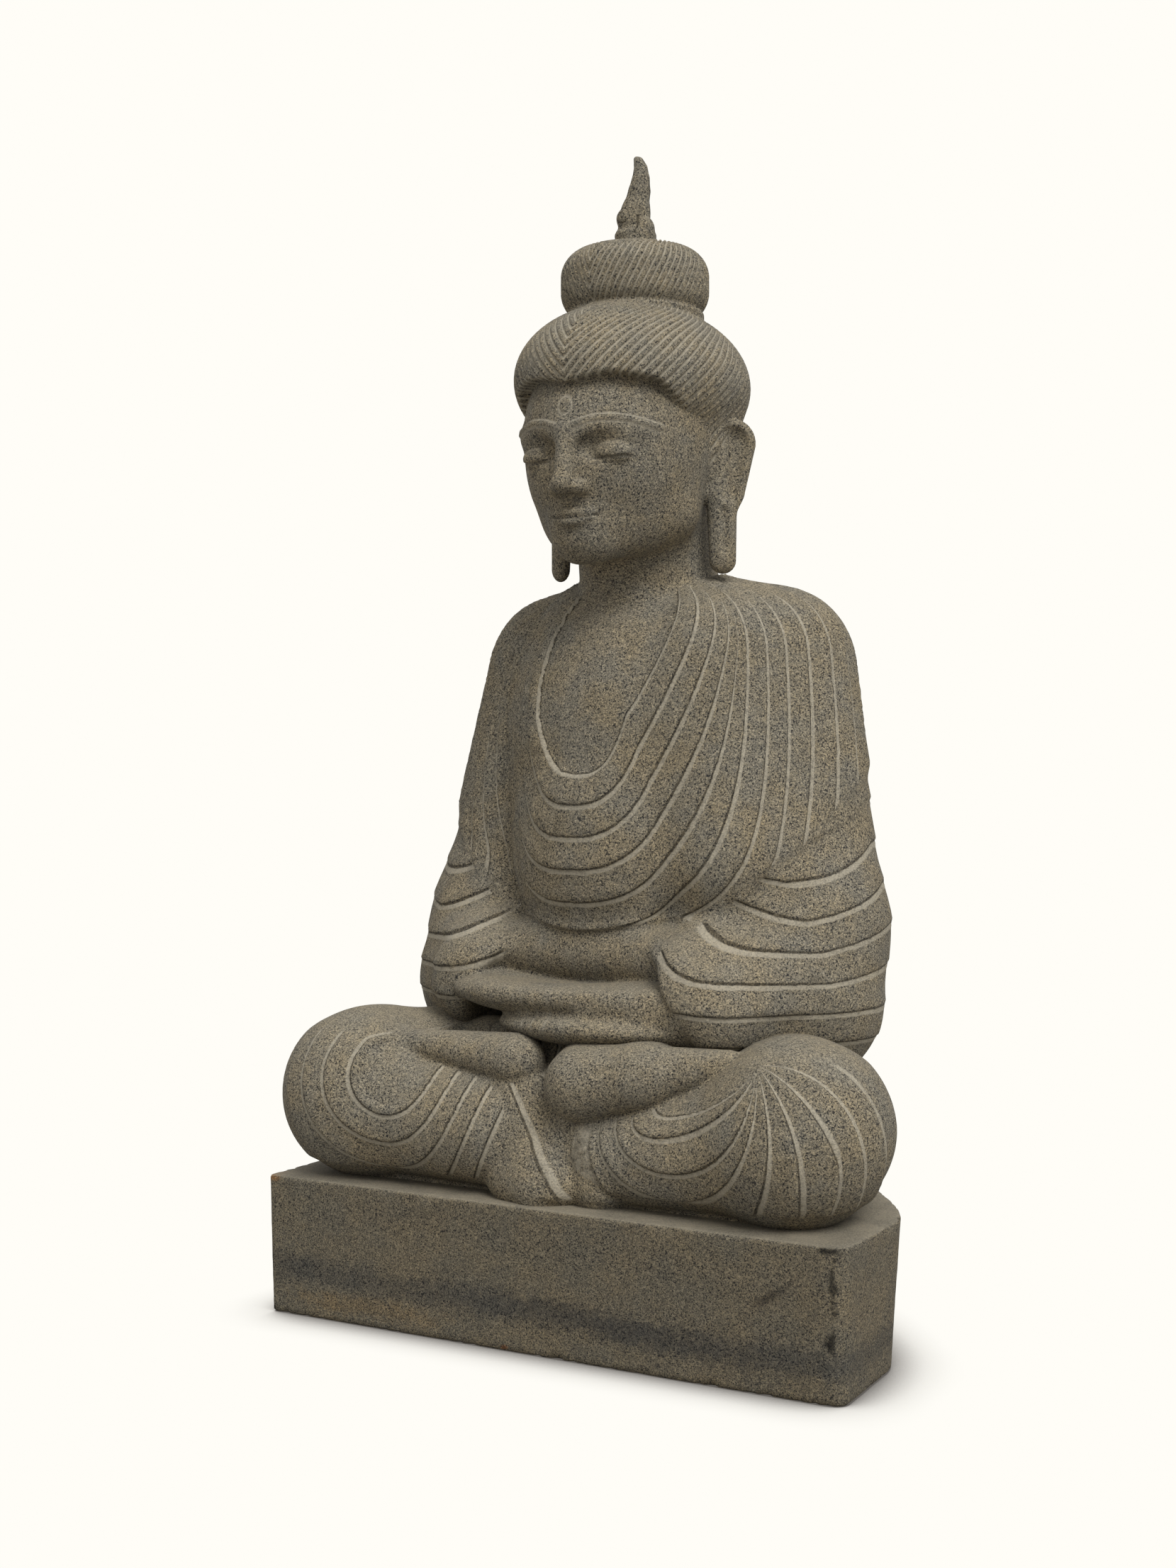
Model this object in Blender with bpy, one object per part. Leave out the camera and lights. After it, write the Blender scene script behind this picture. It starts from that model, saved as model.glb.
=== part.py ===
"""Seated stone figure on its plinth, cut from one block, with a loose flame finial on a steel dowel.

Run with: blender --background --python part.py
Metres, +Z up. The figure faces -Y. The origin is the middle of the plinth's underside.
"""

from math import cos, pi, radians, sin

import bmesh
import bpy
from mathutils import Matrix, Vector

# Driving dimensions of the block
PLINTH_WIDTH = 0.545
PLINTH_DEPTH = 0.300
PLINTH_HEIGHT = 0.120
UNDERSIDE_INSET = 0.003  # the block narrows a little towards the ground
REAR_INSET = 0.012  # and rather more at its rounded rear
# Rough-hewn rear of the plinth at +X, from the end face round to the middle of the back
REAR_OUTLINE = (
    (0.2725, -0.036), (0.264, -0.014), (0.252, 0.006), (0.226, 0.045), (0.196, 0.084),
    (0.155, 0.117), (0.100, 0.140), (0.040, 0.150),
)
CROWN_Y = 0.022  # the topknot, flame and dowel stand this far behind the middle
TOPKNOT_TOP = 0.9325
SEAT_RADIUS = 0.0180
SEAT_HEIGHT = 0.0025

# Flame finial and its dowel
FLAME_HEIGHT = 0.079
FLAME_FOOT_RADIUS = 0.0168
DOWEL_RADIUS = 0.0040
DOWEL_LENGTH = 0.044
HOLE_CLEARANCE = 0.0005
GAP = 0.0003  # air left between stones that rest on each other

# Mesh fineness
FORM_SUBDIVISIONS = 3
VOXEL = 0.0050
BLEND_STEPS = 11
FIGURE_SHARE = 0.080  # share of the voxel skin's faces that is kept
ROUND_STEPS = 32

SEAT_TOP = TOPKNOT_TOP + SEAT_HEIGHT
FLAME_FOOT = SEAT_TOP + GAP
DOWEL_BOTTOM = SEAT_TOP + GAP / 2 - DOWEL_LENGTH / 2
HOLE_RADIUS = DOWEL_RADIUS + HOLE_CLEARANCE
HOLE_DEPTH = DOWEL_LENGTH / 2 + 0.001

# Body masses as (centre, radii) and limbs as (start, start radius, end, end radius).
# Those under "pairs" are drawn at +X and mirrored to -X.
MIDDLE_MASSES = {
    "hips": ((0, 0.056, 0.200), (0.180, 0.093, 0.092)),
    "lap": ((0, -0.048, 0.178), (0.150, 0.092, 0.064)),
    "belly": ((0, 0.040, 0.370), (0.120, 0.104, 0.180)),
    "chest": ((0, 0.050, 0.510), (0.130, 0.100, 0.150)),
    "back": ((0, 0.072, 0.470), (0.115, 0.077, 0.150)),
    "yoke": ((0, 0.068, 0.583), (0.128, 0.072, 0.055)),
    "upper_hand": ((0.004, -0.066, 0.292), (0.088, 0.044, 0.019)),
    "lower_hand": ((0.006, -0.070, 0.264), (0.092, 0.046, 0.021)),
    "hem_fan": ((0, -0.104, 0.150), (0.046, 0.042, 0.060)),
    "face": ((0, -0.010, 0.742), (0.085, 0.084, 0.092)),
    "jaw": ((0, -0.040, 0.688), (0.056, 0.050, 0.042)),
    "hair_cap": ((0, 0.020, 0.812), (0.109, 0.111, 0.073)),
    "nape": ((0, 0.036, 0.765), (0.092, 0.080, 0.086)),
    "topknot": ((0, CROWN_Y, 0.9020), (0.0700, 0.0700, 0.0310)),
}
PAIRED_MASSES = {
    "knee": ((0.203, -0.087, 0.192), (0.072, 0.066, 0.075)),
    "sleeve": ((0.150, 0.052, 0.305), (0.070, 0.084, 0.082)),
    "ear": ((0.095, 0.034, 0.744), (0.012, 0.026, 0.034)),
}
MIDDLE_LIMBS = {
    "neck": ((0, 0.050, 0.590), 0.058, (0, 0.022, 0.700), 0.055),
    "nose": ((0, -0.086, 0.755), 0.007, (0, -0.096, 0.722), 0.010),
    "right_foot": ((0.010, -0.104, 0.212), 0.030, (0.140, -0.092, 0.228), 0.019),
    "left_foot": ((-0.040, -0.098, 0.216), 0.026, (-0.196, -0.092, 0.236), 0.017),
}
PAIRED_LIMBS = {
    "flank": ((0.070, 0.062, 0.545), 0.080, (0.078, 0.046, 0.300), 0.092),
    "thigh": ((0.095, 0.058, 0.188), 0.084, (0.200, -0.060, 0.190), 0.071),
    "shin": ((0.190, -0.088, 0.182), 0.058, (0.060, -0.084, 0.170), 0.056),
    "upper_arm": ((0.109, 0.084, 0.562), 0.066, (0.149, 0.060, 0.340), 0.067),
    "forearm": ((0.148, 0.048, 0.325), 0.060, (0.086, -0.056, 0.288), 0.036),
    "ear_lobe": ((0.092, 0.028, 0.715), 0.012, (0.085, 0.021, 0.650), 0.011),
}

# Flame outline as shares of its height: (height, sideways lean, half width, half thickness)
FLAME_SECTIONS = (
    (0.00, 0.000, 0.215, 0.215),
    (0.10, 0.000, 0.218, 0.218),
    (0.22, -0.004, 0.205, 0.200),
    (0.31, -0.012, 0.172, 0.165),
    (0.45, 0.004, 0.150, 0.140),
    (0.60, 0.028, 0.116, 0.110),
    (0.74, 0.040, 0.086, 0.085),
    (0.86, 0.034, 0.062, 0.062),
    (0.95, 0.012, 0.036, 0.036),
    (1.00, -0.008, 0.010, 0.010),
)

STONE = ((0.215, 0.205, 0.175), 0.85, 0.0)
STEEL = ((0.560, 0.570, 0.580), 0.35, 1.0)


def clear_scene():
    for thing in list(bpy.data.objects):
        bpy.data.objects.remove(thing)


def material(name, finish):
    colour, roughness, metallic = finish
    made = bpy.data.materials.new(name)
    made.use_nodes = True
    shader = made.node_tree.nodes["Principled BSDF"]
    shader.inputs["Base Color"].default_value = (*colour, 1)
    shader.inputs["Roughness"].default_value = roughness
    shader.inputs["Metallic"].default_value = metallic
    return made


def add_object(name, mesh_data, finish=None):
    thing = bpy.data.objects.new(name, mesh_data)
    bpy.context.scene.collection.objects.link(thing)
    if finish:
        mesh_data.materials.append(finish)
    return thing


def finish_bmesh(name, bm):
    bmesh.ops.recalc_face_normals(bm, faces=bm.faces)
    mesh_data = bpy.data.meshes.new(name)
    bm.to_mesh(mesh_data)
    bm.free()
    return mesh_data


def helper(thing):
    thing.hide_render = True
    thing.display_type = "WIRE"
    return thing


def add_boolean(thing, other, operation):
    cut = thing.modifiers.new(other.name, "BOOLEAN")
    cut.operation = operation
    cut.solver = "EXACT"
    cut.object = other


def add_mass(bm, centre, radii):
    place = Matrix.Translation(centre) @ Matrix.Diagonal((*radii, 1))
    bmesh.ops.create_icosphere(bm, subdivisions=FORM_SUBDIVISIONS, radius=1, matrix=place)


def add_limb(bm, start, start_radius, end, end_radius):
    """A tapered limb with round ends: the hull around a ball at each end."""
    for centre, radius in ((start, start_radius), (end, end_radius)):
        place = Matrix.Translation(centre)
        bmesh.ops.create_icosphere(bm, subdivisions=FORM_SUBDIVISIONS, radius=radius, matrix=place)
    hull = bmesh.ops.convex_hull(bm, input=bm.verts[:])
    inside = {v for v in hull["geom_interior"] if isinstance(v, bmesh.types.BMVert)}
    bmesh.ops.delete(bm, geom=list(inside), context="VERTS")


def mirrored(point, side):
    return (point[0] * side, point[1], point[2])


def separate_forms():
    """One small closed mesh for each body mass and limb, gathered in one mesh."""
    whole = bmesh.new()
    jobs = [(add_mass, form) for form in MIDDLE_MASSES.values()]
    jobs += [(add_limb, form) for form in MIDDLE_LIMBS.values()]
    for side in (1, -1):
        for centre, radii in PAIRED_MASSES.values():
            jobs.append((add_mass, (mirrored(centre, side), radii)))
        for start, start_radius, end, end_radius in PAIRED_LIMBS.values():
            ends = (mirrored(start, side), start_radius, mirrored(end, side), end_radius)
            jobs.append((add_limb, ends))
    for add_form, form in jobs:
        single = bmesh.new()
        add_form(single, *form)
        bmesh.ops.recalc_face_normals(single, faces=single.faces)
        part_mesh = bpy.data.meshes.new("form")
        single.to_mesh(part_mesh)
        single.free()
        whole.from_mesh(part_mesh)
        bpy.data.meshes.remove(part_mesh)
    mesh_data = bpy.data.meshes.new("figure_forms")
    whole.to_mesh(mesh_data)
    whole.free()
    return mesh_data


def build_figure_form():
    """The seated figure as one skin round all its masses, softened where they meet."""
    figure = helper(add_object("figure_form", separate_forms()))
    skin = figure.modifiers.new("skin", "REMESH")
    skin.mode = "VOXEL"
    skin.voxel_size = VOXEL
    soften = figure.modifiers.new("soften", "SMOOTH")
    soften.factor = 0.4
    soften.iterations = BLEND_STEPS
    thin_out = figure.modifiers.new("thin_out", "DECIMATE")
    thin_out.ratio = FIGURE_SHARE
    return figure


def plinth_outline():
    """Square front corners, straight ends and a rounded rough-hewn back."""
    half_width = PLINTH_WIDTH / 2
    front = -PLINTH_DEPTH / 2
    right_rear = list(REAR_OUTLINE)
    left_rear = [(-x, y) for x, y in reversed(REAR_OUTLINE)]
    return [(half_width, front), *right_rear, *left_rear, (-half_width, front)]


def build_plinth_form():
    bm = bmesh.new()
    lower, upper = [], []
    for x, y in plinth_outline():
        share_back = (y + PLINTH_DEPTH / 2) / PLINTH_DEPTH
        inset = UNDERSIDE_INSET + REAR_INSET * share_back
        inward = Vector((x, y, 0)).normalized() * inset
        lower.append(bm.verts.new((x - inward.x, y - inward.y, 0)))
        upper.append(bm.verts.new((x, y, PLINTH_HEIGHT)))
    bm.faces.new(lower[::-1])
    bm.faces.new(upper)
    count = len(lower)
    for i in range(count):
        after = (i + 1) % count
        bm.faces.new((lower[i], lower[after], upper[after], upper[i]))
    return finish_bmesh("statue_block", bm)


def round_bar(name, radius, bottom, top):
    bm = bmesh.new()
    place = Matrix.Translation((0, CROWN_Y, (bottom + top) / 2))
    bmesh.ops.create_cone(
        bm, cap_ends=True, segments=ROUND_STEPS, radius1=radius, radius2=radius,
        depth=top - bottom, matrix=place,
    )
    return finish_bmesh(name, bm)


def build_statue_block(stone):
    """Plinth, figure and finial seat are one stone, drilled from above for the dowel."""
    block = add_object("statue_block", build_plinth_form(), stone)
    figure = build_figure_form()
    add_boolean(block, figure, "UNION")
    seat_mesh = round_bar("seat_form", SEAT_RADIUS, TOPKNOT_TOP - 0.02, SEAT_TOP)
    add_boolean(block, helper(add_object("seat_form", seat_mesh)), "UNION")
    drill_mesh = round_bar("dowel_drill", HOLE_RADIUS, SEAT_TOP - HOLE_DEPTH, SEAT_TOP + 0.02)
    add_boolean(block, helper(add_object("dowel_drill", drill_mesh)), "DIFFERENCE")
    return block


def flame_ring(bm, section, steps):
    share, lean, half_width, half_thickness = section
    ring = []
    for i in range(steps):
        turn = 2 * pi * i / steps
        x = (lean + half_width * cos(turn)) * FLAME_HEIGHT
        y = CROWN_Y + half_thickness * sin(turn) * FLAME_HEIGHT
        ring.append(bm.verts.new((x, y, FLAME_FOOT + share * FLAME_HEIGHT)))
    return ring


def build_flame(stone):
    """A curved horn of flame lofted from oval sections, drilled from below."""
    bm = bmesh.new()
    rings = [flame_ring(bm, section, ROUND_STEPS) for section in FLAME_SECTIONS]
    for lower, upper in zip(rings, rings[1:]):
        for i in range(ROUND_STEPS):
            after = (i + 1) % ROUND_STEPS
            bm.faces.new((lower[i], lower[after], upper[after], upper[i]))
    bm.faces.new(rings[0][::-1])
    bm.faces.new(rings[-1])
    flame_mesh = finish_bmesh("flame_finial", bm)
    flame_mesh.shade_smooth()
    flame_mesh.set_sharp_from_angle(angle=radians(50))
    flame = add_object("flame_finial", flame_mesh, stone)
    lobe = bmesh.new()
    add_mass(lobe, (0.0100, CROWN_Y, FLAME_FOOT + 0.0160), (0.0090, 0.0105, 0.0125))
    lobe_form = helper(add_object("flame_lobe_form", finish_bmesh("flame_lobe_form", lobe)))
    add_boolean(flame, lobe_form, "UNION")
    drill_mesh = round_bar(
        "flame_drill", HOLE_RADIUS, FLAME_FOOT - 0.02, FLAME_FOOT + HOLE_DEPTH
    )
    add_boolean(flame, helper(add_object("flame_drill", drill_mesh)), "DIFFERENCE")
    return flame


def build_dowel(steel):
    """A loose steel pin, half in the topknot and half in the flame."""
    pin_mesh = round_bar("finial_dowel", DOWEL_RADIUS, DOWEL_BOTTOM, DOWEL_BOTTOM + DOWEL_LENGTH)
    pin_mesh.shade_smooth()
    pin_mesh.set_sharp_from_angle(angle=radians(40))
    pin = add_object("finial_dowel", pin_mesh, steel)
    chamfer = pin.modifiers.new("chamfer", "BEVEL")
    chamfer.width = 0.0006
    chamfer.segments = 1
    chamfer.limit_method = "ANGLE"
    return pin


def main():
    clear_scene()
    stone = material("grey_stone", STONE)
    steel = material("steel", STEEL)
    build_statue_block(stone)
    build_flame(stone)
    build_dowel(steel)


main()
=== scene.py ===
import math
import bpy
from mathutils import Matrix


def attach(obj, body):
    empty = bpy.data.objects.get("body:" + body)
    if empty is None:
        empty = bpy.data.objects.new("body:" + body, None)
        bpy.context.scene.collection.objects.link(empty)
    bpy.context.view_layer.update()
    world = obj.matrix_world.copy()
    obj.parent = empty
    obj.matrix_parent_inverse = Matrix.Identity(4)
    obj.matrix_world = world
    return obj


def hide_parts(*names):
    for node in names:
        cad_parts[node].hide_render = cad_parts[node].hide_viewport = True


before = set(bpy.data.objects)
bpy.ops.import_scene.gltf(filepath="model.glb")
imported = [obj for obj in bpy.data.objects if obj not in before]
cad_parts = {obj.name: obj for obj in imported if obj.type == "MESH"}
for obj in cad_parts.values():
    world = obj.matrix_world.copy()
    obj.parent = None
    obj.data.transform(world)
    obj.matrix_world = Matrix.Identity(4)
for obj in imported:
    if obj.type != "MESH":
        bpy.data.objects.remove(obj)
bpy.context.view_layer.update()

from concurrent.futures import ThreadPoolExecutor

import bmesh
import bpy
import numpy as np
import openvdb
from mathutils import Vector, noise

scene = bpy.context.scene
stoneTop = 0.12  # top of the plinth
crownY = 0.022  # topknot, flame and dowel stand this far behind the middle


def length3(q):
    return np.sqrt(q[0] * q[0] + q[1] * q[1] + q[2] * q[2])


def ball(p, centre, radii):
    if not isinstance(radii, tuple):
        radii = (radii, radii, radii)
    q = [(p[i] - centre[i]) / radii[i] for i in range(3)]
    near = length3(q)
    steep = length3([q[i] / radii[i] for i in range(3)])
    return near * (near - 1) / np.maximum(steep, 1e-4)


def limb(p, start, startRadius, end, endRadius, flat=(1, 1, 1)):
    # a tapered bar with round ends; flat above 1 thins it along that axis
    axis = [end[i] - start[i] for i in range(3)]
    size = sum(a * a for a in axis)
    along = sum((p[i] - start[i]) * axis[i] for i in range(3)) / size
    along = np.clip(along, 0, 1)
    q = [(p[i] - start[i] - along * axis[i]) * flat[i] for i in range(3)]
    reach = length3(q)
    radius = startRadius + (endRadius - startRadius) * along
    if flat == (1, 1, 1):
        return reach - radius
    steep = length3([q[i] * flat[i] for i in range(3)]) / np.maximum(reach, 1e-5)
    return (reach - radius) / np.maximum(steep, 1e-3)


def drum(p, centre, radius, halfHeight, rounding):
    out = np.hypot(p[0] - centre[0], p[1] - centre[1]) - (radius - rounding)
    up = np.abs(p[2] - centre[2]) - (halfHeight - rounding)
    outer = np.hypot(np.maximum(out, 0), np.maximum(up, 0))
    return outer + np.minimum(np.maximum(out, up), 0) - rounding


def slab(p, centre, halfSize, rounding):
    q = [np.abs(p[i] - centre[i]) - (halfSize[i] - rounding) for i in range(3)]
    outer = length3([np.maximum(a, 0) for a in q])
    inner = np.minimum(np.maximum(np.maximum(q[0], q[1]), q[2]), 0)
    return outer + inner - rounding


def fuse(a, b, softness):
    mix = np.clip(0.5 + 0.5 * (b - a) / softness, 0, 1)
    return b + (a - b) * mix - softness * mix * (1 - mix)


def fuseAll(fields, softness):
    whole = fields[0]
    for field in fields[1:]:
        whole = fuse(whole, field, softness)
    return whole


def carve(a, b, softness):
    return -fuse(-a, b, softness)


def nearest(*fields):
    return np.minimum.reduce(fields)


def fade(x, low, high):
    t = np.clip((x - low) / (high - low), 0, 1)
    return t * t * (3 - 2 * t)


def mirrored(p):
    return (np.abs(p[0]), p[1], p[2])


body = {
    "chest": ((0, 0.048, 0.5), (0.126, 0.102, 0.15)),
    "belly": ((0, 0.036, 0.402), (0.112, 0.102, 0.112)),
    "waist": ((0, 0.06, 0.31), (0.112, 0.08, 0.1)),
    "yoke": ((0, 0.066, 0.583), (0.122, 0.07, 0.05)),
    "back": ((0, 0.074, 0.47), (0.118, 0.078, 0.155)),
    "softness": 0.03,
    "armpit": ((-0.116, -0.01, 0.545), 0.004, (-0.086, -0.05, 0.35), 0.012),
}
arms = {
    "upper": ((0.109, 0.084, 0.56), 0.066, (0.147, 0.058, 0.345), 0.068),
    "shoulder": ((0.045, 0.058, 0.606), 0.032, (0.112, 0.082, 0.582), 0.044),
    "sleeve": ((0.148, 0.054, 0.34), 0.067, (0.152, 0.04, 0.28), 0.07),
    "leftForearm": ((0.146, 0.036, 0.328), 0.056, (0.096, -0.056, 0.292), 0.04),
    "leftHang": ((0.146, 0.006, 0.294), 0.056, (0.124, -0.058, 0.276), 0.036),
    "rightForearm": ((-0.148, 0.036, 0.326), 0.056, (-0.124, -0.034, 0.302), 0.038),
    "rightHang": ((-0.15, 0.008, 0.292), 0.054, (-0.136, -0.034, 0.283), 0.031),
    "drape": ((0.072, 0.026, 0.565), 0.06, (0.098, 0.01, 0.4), 0.062),
    "leftCuff": (0.079, 0.312, 0.89, 0.46),
    "rightCuff": (0.104, 0.3, 0.86, 0.5),
}
hands = {
    "upper": ((-0.018, -0.052, 0.285), (0.118, 0.06, 0.0225)),
    "heel": ((0.024, -0.078, 0.272), 0.026, (0.104, -0.06, 0.276), 0.033),
    "wrist": ((-0.15, -0.016, 0.292), 0.026, (-0.07, -0.044, 0.286), 0.019),
    "rim": (0.2925, 0.14),
    "hollow": ((-0.026, -0.06, 0.3085), (0.086, 0.04, 0.0155)),
    "lower": ((0.012, -0.062, 0.26), (0.094, 0.054, 0.018)),
    "groove": ((-0.096, -0.096, 0.2715), 0.0045, (0.03, -0.117, 0.273), 0.0018),
    "bedding": ((-0.122, -0.018, 0.317), 0.024, (0.094, -0.044, 0.315), 0.027),
    "fingers": (-0.046, -0.037, -0.026, -0.012),
}
legs = {
    "thigh": ((0.1, 0.054, 0.185), 0.082, (0.196, -0.058, 0.188), 0.071),
    "rightKnee": ((-0.211, -0.088, 0.191), (0.0725, 0.07, 0.0725)),
    "leftKnee": ((0.202, -0.086, 0.19), (0.07, 0.068, 0.073)),
    "rightShin": ((-0.205, -0.09, 0.184), 0.06, (-0.072, -0.096, 0.172), 0.05),
    "leftShin": ((0.192, -0.088, 0.182), 0.06, (0.048, -0.092, 0.158), 0.041),
    "hips": ((0, 0.056, 0.2), (0.18, 0.092, 0.092)),
    "lap": ((0, -0.03, 0.18), (0.15, 0.088, 0.062)),
    "cushion": ((-0.11, -0.04, 0.234), 0.024, (0.06, -0.056, 0.234), 0.024),
    "step": ((0, -0.006, 0.118), (0.205, 0.1, 0.011)),
}
feet = {
    "leftHeel": ((0.024, -0.113, 0.2175), 0.031, (0.08, -0.107, 0.227), 0.026),
    "leftToes": ((0.078, -0.107, 0.227), 0.026, (0.15, -0.097, 0.241), 0.012),
    "leftAnkle": ((0.016, -0.088, 0.226), 0.026, (0.072, -0.074, 0.236), 0.024),
    "rightSole": ((-0.045, -0.104, 0.232), 0.025, (-0.19, -0.099, 0.2395), 0.01),
}
hem = {
    "sheet": ((-0.048, -0.1, 0.212), 0.029, (-0.026, -0.113, 0.152), 0.032),
    "flare": ((-0.018, -0.116, 0.134), (0.046, 0.026, 0.026)),
    "tip": ((-0.008, -0.12, 0.152), 0.017, (-0.01, -0.131, 0.124), 0.012),
    "pleat": ((0.032, -0.094, 0.172), 0.024, (0.038, -0.104, 0.134), 0.026),
    "filler": ((-0.006, -0.066, 0.17), (0.08, 0.056, 0.052)),
    "pocket": ((0.014, -0.128, 0.172), 0.003, (0.0135, -0.14, 0.136), 0.0045),
}
head = {
    "skull": ((0, 0.0, 0.766), (0.0805, 0.1005, 0.085)),
    "cheeks": ((0, -0.01, 0.722), (0.07, 0.083, 0.064)),
    "jaw": ((0.05, -0.004, 0.694), 0.02, (0.01, -0.061, 0.671), 0.019),
    "chin": ((0, -0.066, 0.6685), (0.02, 0.019, 0.0165)),
    "nape": ((0, 0.036, 0.768), (0.085, 0.087, 0.086)),
    "neck": ((0, 0.058, 0.59), 0.064, (0, 0.036, 0.7), 0.059),
    "cap": ((0.001, 0.0175, 0.812), (0.098, 0.1225, 0.071)),
    "knot": ((0, crownY, 0.9015), 0.0655, 0.0315, 0.025),
    "collar": ((0, crownY, 0.869), 0.061, 0.009, 0.004),
    "earPivot": (0.074, 0.026), "earTurn": 41,
    "hairline": ((0, 0.4, 0.8, 1.05, 1.3, 1.5, 1.8, 3.2),
                 (0.797, 0.804, 0.8, 0.781, 0.758, 0.735, 0.7, 0.676)),
    "brow": 0.764, "eyes": 0.7405, "noseTip": 0.7125, "mouth": 0.6865, "eyeGap": 0.034,
}


def torsoField(p):
    m = mirrored(p)
    parts = [ball(p, *body[name]) for name in ("chest", "belly", "yoke", "back", "waist")]
    return fuseAll(parts + [limb(m, *arms["shoulder"])], body["softness"])


def armField(p):
    m = mirrored(p)
    sleeve = limb(m, *arms["sleeve"])
    whole = limb(m, *arms["upper"])
    for side in ("left", "right"):
        lower = fuse(limb(p, *arms[side + "Forearm"]), limb(p, *arms[side + "Hang"]), 0.02)
        lower = fuse(lower, sleeve, 0.022)
        x0, z0, leanX, leanZ = arms[side + "Cuff"]
        lower = carve(lower, -((x0 - m[0]) * leanX + (z0 - m[2]) * leanZ), 0.005)
        lower = np.where((p[0] > 0) == (side == "left"), lower, 0.3)
        whole = fuse(whole, lower, 0.026)
    return fuse(whole, limb(p, *arms["drape"]), 0.03)


def legField(p):
    m = mirrored(p)
    right = fuse(ball(p, *legs["rightKnee"]), limb(p, *legs["rightShin"]), 0.022)
    left = fuse(ball(p, *legs["leftKnee"]), limb(p, *legs["leftShin"]), 0.022)
    leg = fuse(np.minimum(right, left), limb(m, *legs["thigh"]), 0.022)
    seat = fuse(ball(p, *legs["hips"]), ball(p, *legs["lap"]), 0.03)
    leg = fuse(fuse(leg, seat, 0.012), limb(p, *legs["cushion"]), 0.012)
    return fuse(leg, slab(p, *legs["step"], 0.01), 0.008)


def feetField(p):
    left = fuse(limb(p, *feet["leftHeel"]), limb(p, *feet["leftToes"]), 0.01)
    left = fuse(left, limb(p, *feet["leftAnkle"]), 0.014)
    right = limb(p, *feet["rightSole"], flat=(1, 1, 1.12))
    return np.minimum(left, right)


def handField(p):
    upper = fuse(ball(p, *hands["upper"]), limb(p, *hands["heel"]), 0.014)
    upper = fuse(upper, limb(p, *hands["wrist"]), 0.012)
    whole = fuse(upper, ball(p, *hands["lower"]), 0.005)
    front, slope = hands["rim"]
    whole = carve(whole, front + slope * (p[1] + 0.11) - p[2], 0.004)
    whole = carve(whole, ball(p, *hands["hollow"]), 0.005)
    return carve(whole, limb(p, *hands["groove"]), 0.003)


def hemField(p):
    fall = fuse(limb(p, *hem["sheet"], flat=(1, 1.35, 1)), ball(p, *hem["flare"]), 0.014)
    fall = fuse(fall, limb(p, *hem["tip"], flat=(1, 1.2, 1)), 0.01)
    fall = fuse(fall, limb(p, *hem["pleat"]), 0.006)
    return fuse(fall, ball(p, *hem["filler"]), 0.01)


def frontOf(field, x, z, outside=-0.17, inside=0.0):
    # finds the front of a shape by halving the gap
    for _ in range(26):
        middle = (outside + inside) / 2
        if field(np.array([[x], [middle], [z]], dtype=np.float64))[0] > 0:
            outside = middle
        else:
            inside = middle
    return inside


def plainHead(p):
    m = mirrored(p)
    form = fuse(ball(p, *head["skull"]), ball(p, *head["cheeks"]), 0.022)
    form = fuse(form, limb(m, *head["jaw"]), 0.022)
    return fuse(form, ball(p, *head["chin"]), 0.014)


def moundedHead(p):
    # the plain head with the muzzle and the brow ridge, before the small features
    m = mirrored(p)
    z = head["mouth"]
    form = fuse(plainHead(p), ball(p, (0, plainFront["mouth"] + 0.0125, z), (0.027, 0.017, 0.018)), 0.012)
    z = head["brow"] - 0.003
    return fuse(form, limb(m, (0.01, plainFront["brow"] + 0.0088, z - 0.003), 0.007,
                           (0.052, plainFront["browEnd"] + 0.0085, z - 0.001), 0.006), 0.014)


plainFront = {
    "mouth": frontOf(plainHead, 0, head["mouth"]),
    "brow": frontOf(plainHead, 0.01, head["brow"]),
    "browEnd": frontOf(plainHead, 0.052, head["brow"]),
    "eye": frontOf(plainHead, head["eyeGap"], head["eyes"]),
    "noseRoot": frontOf(plainHead, 0, 0.757),
    "noseTip": frontOf(plainHead, 0, head["noseTip"]),
}
lipFront = {
    "middle": frontOf(moundedHead, 0, head["mouth"]),
    "corner": frontOf(moundedHead, 0.0225, head["mouth"]),
    "side": frontOf(moundedHead, 0.016, head["mouth"]),
}


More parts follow.
